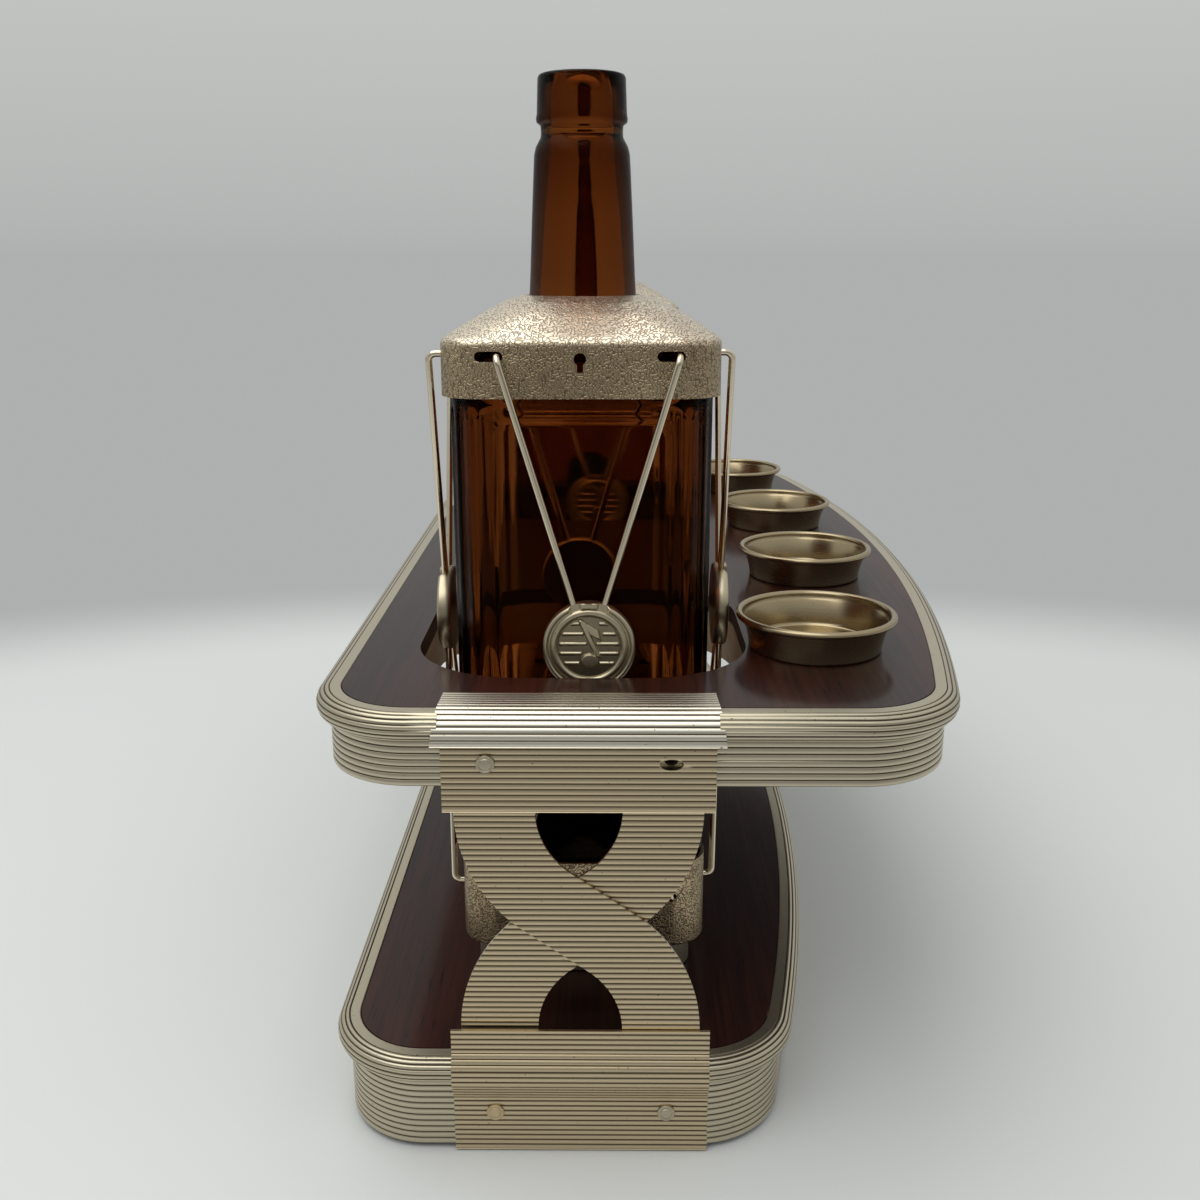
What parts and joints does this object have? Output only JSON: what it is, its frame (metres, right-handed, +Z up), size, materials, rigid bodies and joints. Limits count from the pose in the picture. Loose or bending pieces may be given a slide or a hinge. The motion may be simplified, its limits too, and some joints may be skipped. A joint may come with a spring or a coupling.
{
  "type": "liquor dispenser",
  "caption": "Two-tier bar stand with turning, lift-out square glass bottles in wire cages, crossed end straps and shallow cups for glasses along its bowed front.",
  "frame": {"origin": "on the floor below the middle of the stand's bounding box", "axes": "+Z up, +X along the stand, the bowed front with the cups faces -Y"},
  "size_m": [0.4762, 0.2417, 0.3675],
  "materials": {
    "mahogany": "dark mahogany under gloss lacquer",
    "edge_trim": "champagne anodised, fluted",
    "ribbed_sheet": "champagne anodised, ribbed",
    "rivet_metal": "domed, worn",
    "cup_metal": "satin champagne plate",
    "hammered_metal": "engraved satin champagne plate",
    "cage_metal": "satin champagne plate",
    "cage_wire": "bright champagne plate",
    "medallion_metal": "pressed champagne plate",
    "amber_glass": "amber, pressed",
    "felt": "felt",
    "screw_steel": "countersunk head",
    "turntable_steel": "turned",
    "works_steel": "stamped",
    "brass": "turned"
  },
  "bodies": {
    "root": {"base_board": "mahogany", "top_board": "mahogany", "base_bead": "edge_trim", "top_bead": "edge_trim", "base_band": "edge_trim", "top_band": "edge_trim", "felt_feet": "felt", "cup_screws": "screw_steel", "cup_1": "cup_metal", "cup_2": "cup_metal", "cup_3": "cup_metal", "cup_4": "cup_metal", "left_rear_strap": "ribbed_sheet", "left_front_strap": "ribbed_sheet", "left_upper_plate": "ribbed_sheet", "left_hook_strip": "ribbed_sheet", "left_lower_sheet": "ribbed_sheet", "left_rivets": "rivet_metal", "left_bush": "brass", "right_rear_strap": "ribbed_sheet", "right_front_strap": "ribbed_sheet", "right_upper_plate": "ribbed_sheet", "right_hook_strip": "ribbed_sheet", "right_lower_sheet": "ribbed_sheet", "right_rivets": "rivet_metal", "right_bush": "brass"},
    "left_table": {"left_turntable": "turntable_steel"},
    "left_bottle": {"left_foot_ring": "cage_metal", "left_foot_cap": "hammered_metal", "left_bottle_deck": "works_steel", "left_glass_bottle": "amber_glass", "left_shoulder_cap": "hammered_metal", "left_upper_wires": "cage_wire", "left_lower_wires": "cage_wire", "left_medallions": "medallion_metal", "left_bedplate": "brass", "left_spring_housing": "works_steel", "left_music_comb": "works_steel"},
    "left_key": {"left_winding_key": "brass"},
    "left_drum": {"left_music_drum": "brass"},
    "left_fan": {"left_governor": "works_steel"},
    "left_pin": {"left_stop_pin": "works_steel"},
    "right_table": {"right_turntable": "turntable_steel"},
    "right_bottle": {"right_foot_ring": "cage_metal", "right_foot_cap": "hammered_metal", "right_bottle_deck": "works_steel", "right_glass_bottle": "amber_glass", "right_shoulder_cap": "hammered_metal", "right_upper_wires": "cage_wire", "right_lower_wires": "cage_wire", "right_medallions": "medallion_metal", "right_bedplate": "brass", "right_spring_housing": "works_steel", "right_music_comb": "works_steel"},
    "right_key": {"right_winding_key": "brass"},
    "right_drum": {"right_music_drum": "brass"},
    "right_fan": {"right_governor": "works_steel"},
    "right_pin": {"right_stop_pin": "works_steel"}
  },
  "joints": [
    {"name": "left_bottle_turn", "type": "hinge", "parent": "root", "child": "left_table", "pos_m": [-0.1385, 0.0304, 0.039], "axis": [0, 0, 1], "continuous": true},
    {"name": "left_bottle_lift", "type": "slide", "parent": "left_table", "child": "left_bottle", "axis": [0, 0, 1], "range_m": [0, 0.135]},
    {"name": "left_key_wind", "type": "hinge", "parent": "left_bottle", "child": "left_key", "pos_m": [-0.1385, 0.0304, 0.045], "axis": [0, 0, 1], "continuous": true},
    {"name": "left_drum_turn", "type": "hinge", "parent": "left_bottle", "child": "left_drum", "pos_m": [-0.1385, 0.0514, 0.0651], "axis": [1, 0, 0], "continuous": true},
    {"name": "left_governor_spin", "type": "hinge", "parent": "left_bottle", "child": "left_fan", "pos_m": [-0.1215, 0.0577, 0.064], "axis": [0, 0, 1], "continuous": true},
    {"name": "left_stop_drop", "type": "slide", "parent": "left_bottle", "child": "left_pin", "axis": [0, 0, -1], "range_m": [0, 0.003]},
    {"name": "right_bottle_turn", "type": "hinge", "parent": "root", "child": "right_table", "pos_m": [0.1385, 0.0304, 0.039], "axis": [0, 0, 1], "continuous": true},
    {"name": "right_bottle_lift", "type": "slide", "parent": "right_table", "child": "right_bottle", "axis": [0, 0, 1], "range_m": [0, 0.135]},
    {"name": "right_key_wind", "type": "hinge", "parent": "right_bottle", "child": "right_key", "pos_m": [0.1385, 0.0304, 0.045], "axis": [0, 0, 1], "continuous": true},
    {"name": "right_drum_turn", "type": "hinge", "parent": "right_bottle", "child": "right_drum", "pos_m": [0.1385, 0.0514, 0.0651], "axis": [1, 0, 0], "continuous": true},
    {"name": "right_governor_spin", "type": "hinge", "parent": "right_bottle", "child": "right_fan", "pos_m": [0.1555, 0.0577, 0.064], "axis": [0, 0, 1], "continuous": true},
    {"name": "right_stop_drop", "type": "slide", "parent": "right_bottle", "child": "right_pin", "axis": [0, 0, -1], "range_m": [0, 0.003]}
  ],
  "couplings": [
    {"joint": "left_governor_spin", "follows": "left_drum_turn", "ratio": 16},
    {"joint": "left_stop_drop", "follows": "left_bottle_lift", "ratio": 0.022},
    {"joint": "right_governor_spin", "follows": "right_drum_turn", "ratio": 16},
    {"joint": "right_stop_drop", "follows": "right_bottle_lift", "ratio": 0.022}
  ]
}
